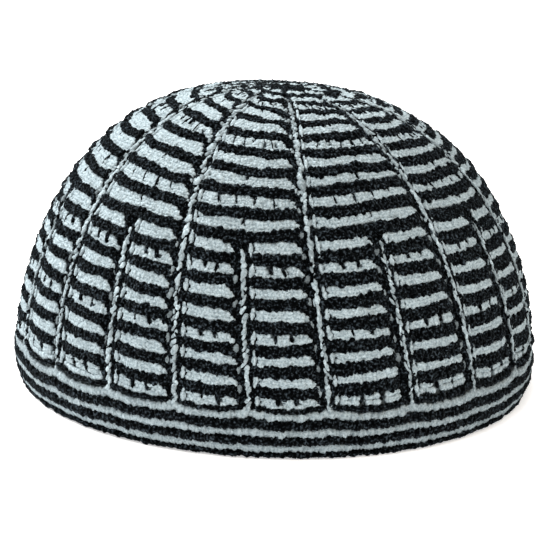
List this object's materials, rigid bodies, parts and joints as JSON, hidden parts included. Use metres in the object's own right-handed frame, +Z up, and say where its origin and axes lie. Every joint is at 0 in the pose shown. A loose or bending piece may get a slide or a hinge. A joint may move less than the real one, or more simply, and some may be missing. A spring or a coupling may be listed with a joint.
{
  "type": "knitted kufi",
  "caption": "Round brimless knitted cap with a domed crown of ribbed, striped panels on a plain striped border band, worn on the head.",
  "frame": {"origin": "centre of the hem on the surface the cap rests on", "axes": "+Z up through the top of the crown, the front faces -Y"},
  "size_m": [0.1799, 0.1799, 0.1019],
  "materials": {
    "dark_yarn": "black chenille yarn, soft short pile",
    "pale_yarn": "pale blue-grey chenille yarn, soft short pile"
  },
  "bodies": {
    "root": {"border_band": "pale_yarn", "crown": "dark_yarn"}
  },
  "joints": []
}
